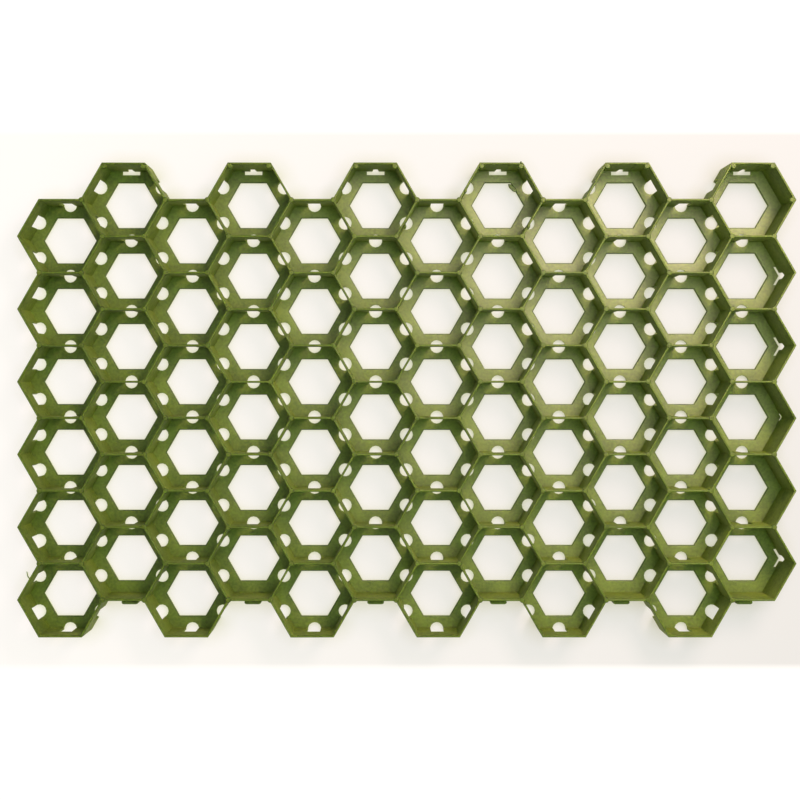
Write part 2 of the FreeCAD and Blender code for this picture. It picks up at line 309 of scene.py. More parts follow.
def corner_slot_side(shell, side):
    """A side with half of a corner slot and its notch, at one end."""
    edge = FACE * LEAN
    slot = FACE - ARM_WIDTH
    end = edge - ARM_REACH / UPRIGHT
    far = [-CORNER, 0.0]
    rim, foot, lip = rim_rows(far), foot_row(far), lip_rows(far)
    below = [on_wall(y, 0) for y in far]

    # The columns at the slot's end, at the notch and on the line to the corner
    places = [end] + [edge - step / UPRIGHT for step in reversed(ARCH_STEPS)]
    middles = [end] + [CORNER - step / UPRIGHT for step in reversed(ARCH_STEPS)]
    insets = ((RIM, 0.0), (0.0, RIM))
    near_rim = [[(HALF, y, HEIGHT) for y in middles]]
    for inset, drop in insets:
        x = face_at(HEIGHT - drop) + inset
        near_rim.append([(x, y, HEIGHT - drop) for y in places[:-1] + [x * LEAN]])
    end_foot = (FACE, end, FLOOR)
    slot_end = (slot, end - ARM_WIDTH * LEAN)
    end_slope = slot_end[1] / slot
    inner_lip = [(x, z) for x, _, z in (row[0] for row in lip)]
    end_lip = [(x, x * end_slope, z) for x, z in inner_lip]
    corner_lip = [(x, x * LEAN, z) for x, z in inner_lip]

    def lay(kind, rows):
        """Add rows or one face, mirrored to the side that the slot is on."""
        if kind == "patch":
            shell.patch([[(x, side * y, z) for x, y, z in row] for row in rows])
        else:
            shell.face([(x, side * y, z) for x, y, z in rows])

    # The plain part, and its last strip up to the slot's end
    lay("patch", rim + [foot] + lip + [below] + [[(HALF, y, 0) for y in far]])
    last = [row[-1] for row in rim]
    first = [row[0] for row in near_rim] + [(face_at(DRAIN_TOP), end, DRAIN_TOP)]
    lay("patch", [[one, other] for one, other in zip(last, first)])
    lay("patch", [[last[-1], first[-1]], [foot[-1], end_foot]])
    lay("face", [foot[-1], end_foot, (*slot_end, FLOOR), end_lip[0], lip[0][-1]])
    lay("patch", [[row[-1], point] for row, point in zip(lip, end_lip)])
    lay("face", [lip[-1][-1], end_lip[-1], (*slot_end, 0), (FACE, end, 0), below[-1]])
    lay("face", [below[-1], (FACE, end, 0), (HALF, end, 0), (HALF, 0.0, 0)])

    # The slotted part: rim, wall down to the notch, floor beyond the slot, and the linings
    lay("patch", near_rim)
    bottom = near_rim[-1]
    notch = [(face_at(arch_height(step)), y, arch_height(step))
             for y, step in zip(places[1:-1] + [face_at(ARCH_TOP) * LEAN], reversed(ARCH_STEPS))]
    lay("face", [bottom[0], first[-1], end_foot, (FACE, end, 0), (FACE, places[1], 0), notch[0], bottom[1]])
    lay("patch", [bottom[1:], notch])
    middle_notch = [(HALF, y, arch_height(step)) for y, step in zip(middles[1:], reversed(ARCH_STEPS))]
    lay("patch", [[(FACE, places[1], 0)] + notch, [(HALF, middles[1], 0)] + middle_notch])
    lay("face", [(FACE, end, 0), (FACE, places[1], 0), (HALF, middles[1], 0), (HALF, end, 0)])
    arm = [(*slot_end, FLOOR), (slot, slot * LEAN, FLOOR)]
    arm_under = [(*slot_end, 0), (slot, slot * LEAN, 0)]
    lay("patch", [arm, arm_under])
    lay("patch", [arm] + [[one, other] for one, other in zip(end_lip, corner_lip)] + [arm_under])
    lay("face", [end_foot, arm[0], arm_under[0], (FACE, end, 0)])


# %% [markdown]
# ## Six kinds of cell
# A cell is six sides round one middle. Most cells are drained on every side. The others are on
# the edges: high columns end in a wall for a hook at the bottom and in an edge slot at the top,
# and the last column has corner slots. The same choice of sides serves the outer walls later.

# %% Cells from sides
SIDE_TURNS = [math.radians(30 + 60 * side) for side in range(6)]
UPPER_RIGHT, TOP, UPPER_LEFT, LOWER_LEFT, BOTTOM, LOWER_RIGHT = range(6)


def side_kind(column, row, side):
    """What the wall on one side of a cell has in it."""
    if column == COLUMNS - 1 and side in (UPPER_RIGHT, LOWER_RIGHT):
        return "corner slot" if row < ROWS - 1 else "plain"
    if column % 2 and row == ROWS - 1 and side == TOP:
        return "edge slot"
    if column % 2 and row == 0 and side == BOTTOM:
        return "plain"
    return "drained"


def cell_shell(column, row):
    """The whole inside of a cell."""
    shell = Shell()
    for side, turn in enumerate(SIDE_TURNS):
        shell.turn = turn
        kind = side_kind(column, row, side)
        if kind == "corner slot":
            corner_slot_side(shell, -1 if side == UPPER_RIGHT else 1)
        else:
            {"plain": plain_side, "drained": drained_side, "edge slot": edge_slot_side}[kind](shell)
    return shell


last = COLUMNS - 1
SAMPLES = {
    "cell_0_drained": (0, 0), "cell_1_above_hook": (1, 0), "cell_2_edge_slot": (1, ROWS - 1),
    "cell_3_right": (last, 1), "cell_4_right_foot": (last, 0), "cell_5_right_head": (last, ROWS - 1),
}
cells = bpy.data.collections.new("cell_kinds")
for name, (column, row) in SAMPLES.items():
    cells.objects.link(bpy.data.objects.new(name, cell_shell(column, row).mesh(name)))

# %% [markdown]
# ## The outer walls
# A cell has only the inner half of each wall, because its neighbour brings the other half. Along
# the edge of the grid there is no neighbour, so the outer halves are laid down here. Where two
# outer walls meet at a cell's own corner they end in a mitre, and in the hollow between two
# cells they end on the line that halves it.

# %% The outer halves of the walls
def cell_middle(column, row):
    """Where a cell's middle is. Odd columns are half a cell higher."""
    x = (column - (COLUMNS - 1) / 2) * STEP
    return x, (row - (ROWS - 1) / 2) * PITCH + (PITCH / 4 if column % 2 else -PITCH / 4)


def has_neighbour(column, row, side):
    """Whether there is a cell across this side."""
    if side in (TOP, BOTTOM):
        return 0 <= row + (1 if side == TOP else -1) < ROWS
    across = column + (1 if side in (UPPER_RIGHT, LOWER_RIGHT) else -1)
    upper = side in (UPPER_RIGHT, UPPER_LEFT)
    beside = row + (1 if upper else 0) if column % 2 else row + (0 if upper else -1)
    return 0 <= across < COLUMNS and 0 <= beside < ROWS


def outer_wall(shell, kind, hollow, slot_end):
    """The outer half of a wall. hollow says of each end whether it is in a hollow."""
    def outside_at(z):
        return OUTSIDE - DRAFT * z / HEIGHT

    def on_outside(y, z, inset=0.0):
        x = outside_at(z) - inset
        end = CORNER - (x - HALF) * LEAN if hollow[y > 0] else x * LEAN
        return x, math.copysign(end, y) if abs(y) == CORNER else y, z

    def skin_rows(ys):
        return [[(HALF, y, HEIGHT) for y in ys],
                [on_outside(y, HEIGHT, RIM) for y in ys],
                [on_outside(y, HEIGHT - RIM) for y in ys],
                [on_outside(y, DRAIN_TOP) for y in ys]]

    def base_rows(ys, middles):
        return [[on_outside(y, 0) for y in ys], [(HALF, y, 0) for y in middles]]

    if kind == "plain":
        ys = both_ways([0.0, CORNER])
        shell.patch(skin_rows(ys) + [[on_outside(y, FLOOR) for y in ys]] + base_rows(ys, ys))
    elif kind == "drained":
        hole = both_ways(HOLE)
        ys = both_ways(HOLE + BESIDE_HOLE[1:])
        shell.patch(skin_rows(ys))
        for part in (BESIDE_HOLE, [-y for y in BESIDE_HOLE]):
            levels = [[on_outside(y, z) for y in part] for z in (DRAIN_TOP, FLOOR)]
            shell.patch(levels + base_rows(part, [part[0] * HOLE_SPREAD] + part[1:]))
        window(shell, hole, on_outside, (DRAIN_TOP, FLOOR, 0))
    elif kind == "edge slot":
        ys = both_ways([NOTCH_TOP_HALF, SLOT_END, CORNER])
        skin = skin_rows(ys)
        shell.patch(skin)
        low = skin[-1]
        middle = len(ys) // 2
        notch = [(y, z) for y, z in ((NOTCH_FOOT_HALF, 0), (notch_side(RECESS_FOOT), RECESS_FOOT),
                                     (NOTCH_TOP_HALF, NOTCH_TOP))]
        head = [on_outside(y, NOTCH_TOP) for y in (NOTCH_TOP_HALF, -NOTCH_TOP_HALF)]
        shell.face([low[middle - 1], low[middle]] + head)
        shell.patch([head, [(HALF, y, z) for _, y, z in head]])
        for side in (-1, 1):
            edge = [(side * y, z) for y, z in notch]
            part = [side * SLOT_END, side * CORNER]
            top, above_floor = [[on_outside(y, z) for y in part] for z in (DRAIN_TOP, FLOOR)]
            shell.face([on_outside(edge[2][0], DRAIN_TOP), top[0], above_floor[0], on_outside(part[0], 0)]
                       + [on_outside(y, z) for y, z in edge])
            shell.patch([top, above_floor] + base_rows(part, part))
            shell.patch([[on_outside(y, z) for y, z in edge], [(HALF, y, z) for y, z in edge]])
            shell.face([on_outside(part[0], 0), (OUTSIDE, edge[0][0], 0), (HALF, edge[0][0], 0),
                        (HALF, part[0], 0)])
    else:
        tip = OUTSIDE * LEAN
        far = [-slot_end * CORNER, 0.0]
        edge = FACE * LEAN
        end = edge - ARM_REACH / UPRIGHT
        steps = list(reversed(ARCH_STEPS))
        outs = [end] + [tip - step / UPRIGHT for step in steps]
        mids = [end] + [CORNER - step / UPRIGHT for step in steps]
        rows = skin_rows(far)
        insets = ((RIM, 0.0), (0.0, RIM), (0.0, HEIGHT - DRAIN_TOP))
        rows[0] += [(HALF, slot_end * y, HEIGHT) for y in mids]
        for row, (inset, drop) in zip(rows[1:], insets):
            x = outside_at(HEIGHT - drop) - inset
            row += [(x, slot_end * y, HEIGHT - drop) for y in outs[:-1] + [x * LEAN]]
        shell.patch(rows)
        low = rows[-1]
        plain = len(far) + 1
        foot = [on_outside(y, 0) for y in far] + [(OUTSIDE, slot_end * end, 0)]
        above_floor = [on_outside(y, FLOOR) for y in far] + [(outside_at(FLOOR), slot_end * end, FLOOR)]
        shell.patch([low[:plain], above_floor, foot, [(HALF, y, 0) for y in far + [slot_end * end]]])
        notch = [(outside_at(arch_height(step)), slot_end * y, arch_height(step))
                 for y, step in zip(outs[1:-1] + [outside_at(ARCH_TOP) * LEAN], steps)]
        inner = [(HALF, slot_end * y, arch_height(step)) for y, step in zip(mids[1:], steps)]
        shell.face([low[plain - 1], above_floor[-1], foot[-1], (OUTSIDE, slot_end * outs[1], 0),
                    notch[0], low[plain]])
        shell.patch([low[plain:], notch])
        shell.patch([[(OUTSIDE, slot_end * outs[1], 0)] + notch, [(HALF, slot_end * mids[1], 0)] + inner])
        shell.face([foot[-1], (OUTSIDE, slot_end * outs[1], 0), (HALF, slot_end * mids[1], 0),
                    (HALF, slot_end * end, 0)])


outer = Shell()
outer_count = 0
for column in range(COLUMNS):
    for row in range(ROWS):
        for side, turn in enumerate(SIDE_TURNS):
            if has_neighbour(column, row, side):
                continue
            outer.turn = turn
            outer.middle = cell_middle(column, row)
            hollow = (has_neighbour(column, row, (side - 1) % 6), has_neighbour(column, row, (side + 1) % 6))
            outer_wall(outer, side_kind(column, row, side), hollow, -1 if side == UPPER_RIGHT else 1)
            outer_count += 1
print(outer_count, "outer walls,", len(outer.faces), "faces")

# %% [markdown]
# ## The honeycomb
# The cells repeat by a plain rule, so Geometry Nodes place them: one point for each cell, its
# column and row worked out from its number, and one of the six kinds put on it. The outer walls
# are the tree's own mesh. Then everything is welded into one skin, and a slow noise bends the
# walls a little, because a thin moulding never cools quite straight.

# %% A helper that adds a node
def add_node(tree, kind, inputs=(), **settings):
    """Add a node, set its properties, and give each input a value or a link."""
    made = tree.nodes.new(kind)
    for name, value in settings.items():
        setattr(made, name, value)
    for socket, value in dict(inputs).items():
        if isinstance(value, bpy.types.NodeSocket):
            tree.links.new(value, made.inputs[socket])
        else:
            made.inputs[socket].default_value = value
    return made


# %% The honeycomb's tree
tree = bpy.data.node_groups.new("honeycomb_of_cells", "GeometryNodeTree")
sockets = {}
for name, kind in (("Outer walls", "Geometry"), ("Cell kinds", "Collection"), ("Columns", "Int"),
                   ("Rows", "Int"), ("Cell pitch", "Float"), ("Weld", "Float"), ("Bend", "Float"),
                   ("Bend length", "Float")):
    sockets[name] = tree.interface.new_socket(name, in_out="INPUT", socket_type="NodeSocket" + kind)
tree.interface.new_socket("Moulding", in_out="OUTPUT", socket_type="NodeSocketGeometry")
given = add_node(tree, "NodeGroupInput").outputs


def sum_up(operation, *values):
    """Add a number node to the tree and return its result."""
    return add_node(tree, "ShaderNodeMath", enumerate(values), operation=operation).outputs[0]


number = add_node(tree, "GeometryNodeInputIndex").outputs[0]
column_at = sum_up("FLOOR", sum_up("DIVIDE", number, given["Rows"]))
row_at = sum_up("SUBTRACT", number, sum_up("MULTIPLY", column_at, given["Rows"]))
odd = sum_up("MODULO", column_at, 2.0)
across = sum_up("SUBTRACT", column_at, sum_up("MULTIPLY_ADD", given["Columns"], 0.5, -0.5))
along = sum_up("ADD", sum_up("SUBTRACT", row_at, sum_up("MULTIPLY_ADD", given["Rows"], 0.5, -0.5)),
               sum_up("MULTIPLY_ADD", odd, 0.5, -0.25))
place = add_node(tree, "ShaderNodeCombineXYZ", {
    "X": sum_up("MULTIPLY", sum_up("MULTIPLY", across, given["Cell pitch"]), math.sqrt(3) / 2),
    "Y": sum_up("MULTIPLY", along, given["Cell pitch"]),
}).outputs[0]
at_foot = sum_up("LESS_THAN", row_at, 0.5)
at_head = sum_up("GREATER_THAN", row_at, sum_up("SUBTRACT", given["Rows"], 1.5))
at_right = sum_up("GREATER_THAN", column_at, sum_up("SUBTRACT", given["Columns"], 1.5))
edge_kind = sum_up("MULTIPLY_ADD", at_head, 2.0, at_foot)
kind = sum_up("MULTIPLY_ADD", at_right, 3.0, sum_up("MULTIPLY", odd, edge_kind))
count = sum_up("MULTIPLY", given["Columns"], given["Rows"])
points = add_node(tree, "GeometryNodeMeshLine", {"Count": count}).outputs[0]
points = add_node(tree, "GeometryNodeSetPosition", {"Geometry": points, "Position": place}).outputs[0]
kinds = add_node(tree, "GeometryNodeCollectionInfo", {
    "Collection": given["Cell kinds"], "Separate Children": True, "Reset Children": True}).outputs[0]
placed = add_node(tree, "GeometryNodeInstanceOnPoints", {
    "Points": points, "Instance": kinds, "Pick Instance": True, "Instance Index": kind}).outputs[0]
joined = add_node(tree, "GeometryNodeJoinGeometry", {"Geometry": placed})
tree.links.new(given["Outer walls"], joined.inputs[0])
skin = add_node(tree, "GeometryNodeRealizeInstances", {"Geometry": joined.outputs[0]}).outputs[0]
skin = add_node(tree, "GeometryNodeMergeByDistance", {
    "Geometry": skin, "Distance": given["Weld"]}).outputs[0]

# %% The bend, the finish and the result
spot = add_node(tree, "GeometryNodeInputPosition").outputs[0]
drift = add_node(tree, "ShaderNodeTexNoise", {
    "Vector": spot, "Scale": sum_up("DIVIDE", 1.0, given["Bend length"]), "Detail": 1.0}).outputs["Color"]
drift = add_node(tree, "ShaderNodeVectorMath", {0: drift, 1: (-0.5, -0.5, -0.5)}, operation="ADD").outputs[0]
bend = add_node(tree, "ShaderNodeCombineXYZ", {"X": given["Bend"], "Y": given["Bend"]}).outputs[0]
drift = add_node(tree, "ShaderNodeVectorMath", {0: drift, 1: bend}, operation="MULTIPLY").outputs[0]
skin = add_node(tree, "GeometryNodeSetPosition", {"Geometry": skin, "Offset": drift}).outputs[0]
plastic = bpy.data.materials.new("moulded_recycled_polyethylene")
skin = add_node(tree, "GeometryNodeSetMaterial", {"Geometry": skin, "Material": plastic}).outputs[0]
add_node(tree, "NodeGroupOutput", {"Moulding": skin})

WELD, BEND, BEND_LENGTH = 0.012, 0.5, 70
grid = bpy.data.objects.new("paver_grid_moulding", outer.mesh("outer_walls"))
bpy.context.scene.collection.objects.link(grid)
honeycomb = grid.modifiers.new("honeycomb", "NODES")
honeycomb.node_group = tree
for name, value in (("Cell kinds", cells), ("Columns", COLUMNS), ("Rows", ROWS), ("Cell pitch", PITCH * MM),
                    ("Weld", WELD * MM), ("Bend", BEND * MM), ("Bend length", BEND_LENGTH * MM)):
    honeycomb[sockets[name].identifier] = value


def settle(piece, name):
    """Turn a piece and its modifiers into one plain mesh."""
    graph = bpy.context.evaluated_depsgraph_get()
    made = bpy.data.meshes.new_from_object(piece.evaluated_get(graph), depsgraph=graph)
    made.name = name
    piece.modifiers.clear()
    piece.data = made


settle(grid, "paver_grid_skin")
for cell in list(cells.objects):
    bpy.data.objects.remove(cell)
bpy.data.collections.remove(cells)
print("honeycomb:", len(grid.data.vertices), "points,", len(grid.data.polygons), "faces")

# %% [markdown]
# ## Ejector posts
# Where three walls meet, and in the upper corners of the high columns, a small round disc shows:
# the end of a post on which a pin pushed the moulding out. The discs could be drawn into each
# kind of cell, but a corner belongs to three cells, so a second tree puts one post on each place.

# %% Where the posts stand
CELL_RADIUS = PITCH / math.sqrt(3)
POST_STEP = 2.6
shared = {}
for column in range(COLUMNS):
    for row in range(ROWS):
        x, y = cell_middle(column, row)
        for step in range(6):
            turn = math.radians(60 * step)
            corner = (x + CELL_RADIUS * math.cos(turn), y + CELL_RADIUS * math.sin(turn))
            place = (round(corner[0], 1), round(corner[1], 1))
            shared.setdefault(place, []).append((column, row, turn, corner))
post_places = []
for owners in shared.values():
    column, row, turn, (x, y) = owners[0]
    step = 0.0
    if len(owners) == 1:
        # A cell's own corner: only at the top of a high column, and at the tip of the last one
        tops = column % 2 and row == ROWS - 1 and turn < math.pi
        if not tops or (turn == 0 and column < COLUMNS - 1):
            continue
        step = POST_STEP
    post_places.append(((x - step * math.cos(turn)) * MM, (y - step * math.sin(turn)) * MM, HEIGHT * MM))
print(len(post_places), "places for posts")

# %% The posts' tree
POST_RADIUS, POST_DEPTH, POST_EDGE, POST_SIDES = 2.5, 3.0, 0.7, 16
post_rows = []
for radius, z in ((POST_RADIUS, -POST_DEPTH), (POST_RADIUS, -POST_EDGE / 2),
                  (POST_RADIUS - POST_EDGE, POST_EDGE / 2)):
    turns = [2 * math.pi * step / POST_SIDES for step in range(POST_SIDES)]
    post_rows.append([(radius * math.cos(turn), radius * math.sin(turn), z) for turn in turns])
post_shape = Shell()
post_shape.patch([row + row[:1] for row in post_rows])
post_shape.face(post_rows[0])
post_shape.face(post_rows[-1])
post_sample = bpy.data.objects.new("post_sample", post_shape.mesh("post_sample"))
bpy.context.scene.collection.objects.link(post_sample)

post_tree = bpy.data.node_groups.new("posts_where_walls_meet", "GeometryNodeTree")
post_inputs = {}
for name, kind in (("Places", "Geometry"), ("Post", "Object"), ("Size", "Float")):
    post_inputs[name] = post_tree.interface.new_socket(name, in_out="INPUT", socket_type="NodeSocket" + kind)
post_tree.interface.new_socket("Posts", in_out="OUTPUT", socket_type="NodeSocketGeometry")
given = add_node(post_tree, "NodeGroupInput").outputs
post = add_node(post_tree, "GeometryNodeObjectInfo", {"Object": given["Post"]}).outputs["Geometry"]
posts = add_node(post_tree, "GeometryNodeInstanceOnPoints", {
    "Points": given["Places"], "Instance": post, "Scale": given["Size"]}).outputs[0]
posts = add_node(post_tree, "GeometryNodeRealizeInstances", {"Geometry": posts}).outputs[0]
posts = add_node(post_tree, "GeometryNodeSetMaterial", {"Geometry": posts, "Material": plastic}).outputs[0]
add_node(post_tree, "NodeGroupOutput", {"Posts": posts})

post_mesh = bpy.data.meshes.new("post_places")
post_mesh.from_pydata(post_places, [], [])
ejector_posts = bpy.data.objects.new("ejector_posts", post_mesh)
bpy.context.scene.collection.objects.link(ejector_posts)
placing = ejector_posts.modifiers.new("posts", "NODES")
placing.node_group = post_tree
for name, value in (("Post", post_sample), ("Size", 1.0)):
    placing[post_inputs[name].identifier] = value
settle(ejector_posts, "ejector_posts_skin")
bpy.data.objects.remove(post_sample)
moulding = bmesh.new()
moulding.from_mesh(grid.data)
moulding.from_mesh(ejector_posts.data)
bpy.data.objects.remove(ejector_posts)
print("posts:", POST_SIDES, "sides, moulding now", len(moulding.faces), "faces")

# %% [markdown]
# ## Hooks
# Each bottom wall of a high column carries an edge hook, a short bar held off the wall by a neck,
# and each hollow on the left has a corner hook in the shape of a V. They are prisms with softened
# edges, so an outline is raised to its height and a bevel rounds it. The necks start inside the
# wall, as they do where molten plastic ran through, and end inside the hook's head.

# %% Hooks from outlines
HOOK_HEIGHT, HOOK_GAP, HOOK_THICK, HOOK_LENGTH, HOOK_NECK = 10.0, 4.8, 3.0, 15.1, 4.9
CORNER_GAP, CORNER_THICK, CORNER_REACH, CORNER_NECK = 2.4, 2.0, 7.9, 5.2
HOOK_SOFT, CORNER_SOFT, NECK_SOFT = 0.8, 0.5, 0.3
# A head's cut corners along and across, and how far a neck goes into the wall, the tip and the head
CUT_ALONG, CUT_ACROSS = 1.4, 0.9
IN_WALL, IN_TIP, IN_HEAD = 0.6, 0.4, 0.5
NECK_HEIGHT = HOOK_HEIGHT - 0.15


def add_prism(outline, low, high, soften, steps=2):
    """Raise an outline, in millimetres, between two heights and soften all edges but its foot's."""
    part = bmesh.new()
    ring = [part.verts.new((x * MM, y * MM, low * MM)) for x, y in outline]
    base = part.faces.new(ring)
    raised = bmesh.ops.extrude_face_region(part, geom=[base])["geom"]
    lifted = [item for item in raised if isinstance(item, bmesh.types.BMVert)]
    bmesh.ops.translate(part, vec=(0, 0, (high - low) * MM), verts=lifted)
    bmesh.ops.recalc_face_normals(part, faces=part.faces)
    top = (high - 0.01) * MM
    tops = [edge for edge in part.edges if max(end.co.z for end in edge.verts) > top]
    bmesh.ops.bevel(part, geom=tops, offset=soften * MM, segments=steps, affect="EDGES", profile=0.5)
    made = bpy.data.meshes.new("prism")
    part.to_mesh(made)
    part.free()
    moulding.from_mesh(made)
    bpy.data.meshes.remove(made)


def chevron(x, y, from_wall, thick, reach):
    """The outline of a V along the two walls right of an empty cell place."""
    tip = x + (PITCH - WALL - 2 * from_wall) / math.sqrt(3)
    inset, lean = 2 * thick / math.sqrt(3), reach / math.sqrt(3)
    return [(tip, y), (tip - lean, y + reach), (tip - lean - inset, y + reach), (tip - inset, y),
            (tip - lean - inset, y - reach), (tip - lean, y - reach)]


for column in range(1, COLUMNS, 2):
    x, y = cell_middle(column, 0)
    face = y - OUTSIDE
    inner, outside = face - HOOK_GAP, face - HOOK_GAP - HOOK_THICK
    half, neck = HOOK_LENGTH / 2, HOOK_NECK / 2
    add_prism([(x - half, inner), (x - half, outside + CUT_ACROSS), (x - half + CUT_ALONG, outside),
               (x + half - CUT_ALONG, outside), (x + half, outside + CUT_ACROSS), (x + half, inner)],
              0, HOOK_HEIGHT, HOOK_SOFT)
    add_prism([(x - neck, face + IN_WALL), (x - neck, inner - IN_HEAD),
               (x + neck, inner - IN_HEAD), (x + neck, face + IN_WALL)], 0, NECK_HEIGHT, NECK_SOFT)
for row in range(ROWS - 1):
    x, y = cell_middle(-1, row)
    add_prism(chevron(x, y, CORNER_GAP, CORNER_THICK, CORNER_REACH), 0, HOOK_HEIGHT, CORNER_SOFT)
    neck_left = x + (PITCH - WALL - 2 * CORNER_GAP - CORNER_THICK) / math.sqrt(3)
    neck_right = x + CELL_RADIUS - IN_TIP
    half = CORNER_NECK / 2
    add_prism([(neck_left, y - half), (neck_right, y - half), (neck_right, y + half), (neck_left, y + half)],
              0, NECK_HEIGHT, NECK_SOFT)
print("hooks:", COLUMNS // 2, "on the lower edge and", ROWS - 1, "on the left")

# %% [markdown]
# ## Flash
# Molten plastic creeps into every gap of a worn mould, and the photograph shows what it left:
# films that close two of the corner slots, a curled flap at one opening, torn scraps on four
# rims and a hair on the left. They are few and each is where it was seen, so each is a small
# plate with an outline of its own, joined to the wall or floor that it grew from.

# %% Films in two corner slots
# Each slotted row with where its film starts, from the wall: one is whole, one leaves a crack
FILM_STARTS = {1: -0.2, 2: 0.5}
FILM_END, FILM_OVERLAP, FILM_LOW, FILM_HIGH, FILM_SOFT = 2.6, 0.4, 0.3, 2.2, 0.1
NOTCH_FILM_START, NOTCH_FILM_THICK, NOTCH_FILM_OVERLAP = -1.5, 1.0, 1.5
for row, start in FILM_STARTS.items():
    x, y = cell_middle(COLUMNS - 1, row)
    film = chevron(x, y, start, FILM_END - start, ARM_REACH + FILM_OVERLAP)
    add_prism(film, FILM_LOW, FILM_HIGH, FILM_SOFT, steps=1)
    film = chevron(x, y, NOTCH_FILM_START, NOTCH_FILM_THICK, ARCH + NOTCH_FILM_OVERLAP)
    add_prism(film, FILM_LOW, ARCH_TOP + 0.3, FILM_SOFT, steps=1)
print("films:", 2 * len(FILM_STARTS))

# %% A flap, scraps and a hair
FLAP = [(93.1, 197.0), (95.8, 196.6), (101.3, 191.6), (99.9, 189.7), (97.7, 190.2), (94.0, 193.8)]
FLAP_LOW, FLAP_HIGH, FLAP_SOFT = 1.8, 3.6, 0.4
add_prism(FLAP, FLAP_LOW, FLAP_HIGH, FLAP_SOFT, steps=1)

# One outline serves every scrap, at a place and a size
SCRAP = [(-1.8, -1.6), (-1.2, 1.2), (0.2, 2.9), (1.5, 0.7), (0.8, -2.2), (-0.6, -3.2)]
SCRAPS = ((52.2, 186.3, 1.0), (108.2, 154.4, 1.0), (-1.4, 154.0, 0.8), (101.2, 210.4, 0.6))
SCRAP_DEPTH, SCRAP_RISE, SCRAP_SOFT = 6, 0.6, 0.7
# Their wide chamfers take the plastic's painted edge shade, so the scraps show as dark marks on the rims
for x, y, size in SCRAPS:
    torn = [(x + size * east, y + size * north) for east, north in SCRAP]
    add_prism(torn, HEIGHT - SCRAP_DEPTH, HEIGHT + SCRAP_RISE, SCRAP_SOFT, steps=1)

HAIR = [(-347.6, -157.6), (-347.0, -157.8), (-346.2, -161.5), (-344.0, -164.6), (-344.9, -165.0),
        (-346.9, -161.8)]
HAIR_LOW, HAIR_HIGH, HAIR_SOFT = 1.0, 1.8, 0.1
add_prism(HAIR, HAIR_LOW, HAIR_HIGH, HAIR_SOFT, steps=1)
print("flash: a flap,", len(SCRAPS), "scraps and a hair")

# %% [markdown]
# ## Close the skin
# The patches were laid without care for which way they face, so the normals are recalculated
# now that the skin is whole. Smooth shading rounds the posts and hooks, edges over 50 degrees
# stay sharp, and weighted normals keep the large faces flat beside their small chamfers.

# %% Normals and shading
SHARP_DEGREES = 50
bmesh.ops.recalc_face_normals(moulding, faces=moulding.faces)
open_edges = sum(1 for edge in moulding.edges if len(edge.link_faces) != 2)
moulding.to_mesh(grid.data)
moulding.free()
grid.data.materials.clear()
grid.data.materials.append(plastic)
grid.data.polygons.foreach_set("material_index", [0] * len(grid.data.polygons))
grid.data.shade_smooth()
grid.data.set_sharp_from_angle(angle=math.radians(SHARP_DEGREES))
flatten = grid.modifiers.new("flat_faces", "WEIGHTED_NORMAL")
flatten.keep_sharp = True
settle(grid, "paver_grid_skin")
triangles = sum(len(face.vertices) - 2 for face in grid.data.polygons)
print("moulding:", triangles, "triangles,", open_edges, "open edges")

# %% [markdown]
# ## Moulded recycled polyethylene
# Recycled polyethylene is ground from many colours and dyed one: it comes out an uneven olive
# green, with cloudy patches and flow streaks, a satin skin and a soft, waxy gloss. Its chamfers
# and the tops of its walls are painted darker, as painted shade, its walls are duller than its
# floors, and its rims have less gloss. Photographs could paint it, but noise at the size of the
# real patches does it from every side.

# %% Helpers for colours and patterns
def linear(code):
    """An sRGB hex colour as linear numbers."""
    parts = [int(code[n:n + 2], 16) / 255 for n in (1, 3, 5)]
    return [part / 12.92 if part <= 0.04045 else ((part + 0.055) / 1.055) ** 2.4 for part in parts] + [1.0]


def per_mm(size):
    """The scale that makes a pattern this many millimetres across."""
    return 1 / (size * MM)


def remap(tree, value, start, end, low=0.0, high=1.0):
    """Turn a value that runs from low to high into one that runs from start to end."""
    return add_node(tree, "ShaderNodeMapRange", {
        "Value": value, "From Min": low, "From Max": high, "To Min": start, "To Max": end}).outputs[0]


def mix_colours(tree, share, first, second):
    """A mean of two colours."""
    return add_node(tree, "ShaderNodeMix", {"Factor": share, "A": first, "B": second},
                    data_type="RGBA").outputs["Result"]


def height_of(tree, vector):
    """The upward part of a place or a direction."""
    return add_node(tree, "ShaderNodeSeparateXYZ", {0: vector}).outputs["Z"]


plastic.use_nodes = True
nodes = plastic.node_tree
shader = nodes.nodes["Principled BSDF"]
spot = add_node(nodes, "ShaderNodeTexCoord").outputs["Object"]


def noise(size, detail, roughness=0.5, stretch=(1.0, 1.0, 1.0)):
    """A noise whose patches are this many millimetres across, longer where the stretch is small."""
    mapped = add_node(nodes, "ShaderNodeVectorMath", {0: spot, 1: stretch}, operation="MULTIPLY").outputs[0]
    return add_node(nodes, "ShaderNodeTexNoise", {"Vector": mapped, "Scale": per_mm(size), "Detail": detail,
                                                  "Roughness": roughness}).outputs[0]


def blend(share, first, second):
    """A mean of two numbers of the node tree."""
    return add_node(nodes, "ShaderNodeMix", {"Factor": share, "A": first, "B": second}).outputs[0]


print("sRGB mid grey is", round(linear("#808080")[0], 3), "linear")

# %% The plastic's colour
# Patches of badly mixed colour, streaks along the flow, and a grain drawn coarse enough to show
CLOUD, STREAK, GRAIN = 48, 16, 2.5
FLOW_STRETCH = (1.0, 0.35, 0.5)
clouds = noise(CLOUD, 4.0, 0.6)
streaks = noise(STREAK, 3.0, 0.6, FLOW_STRETCH)
grain = noise(GRAIN, 3.0)
tint = add_node(nodes, "ShaderNodeValToRGB", {"Fac": blend(0.4, blend(0.4, clouds, streaks), grain)})
for stop, place, code in zip(tint.color_ramp.elements, (0.39, 0.61), ("#48531b", "#68702a")):
    stop.position = place
    stop.color = linear(code)
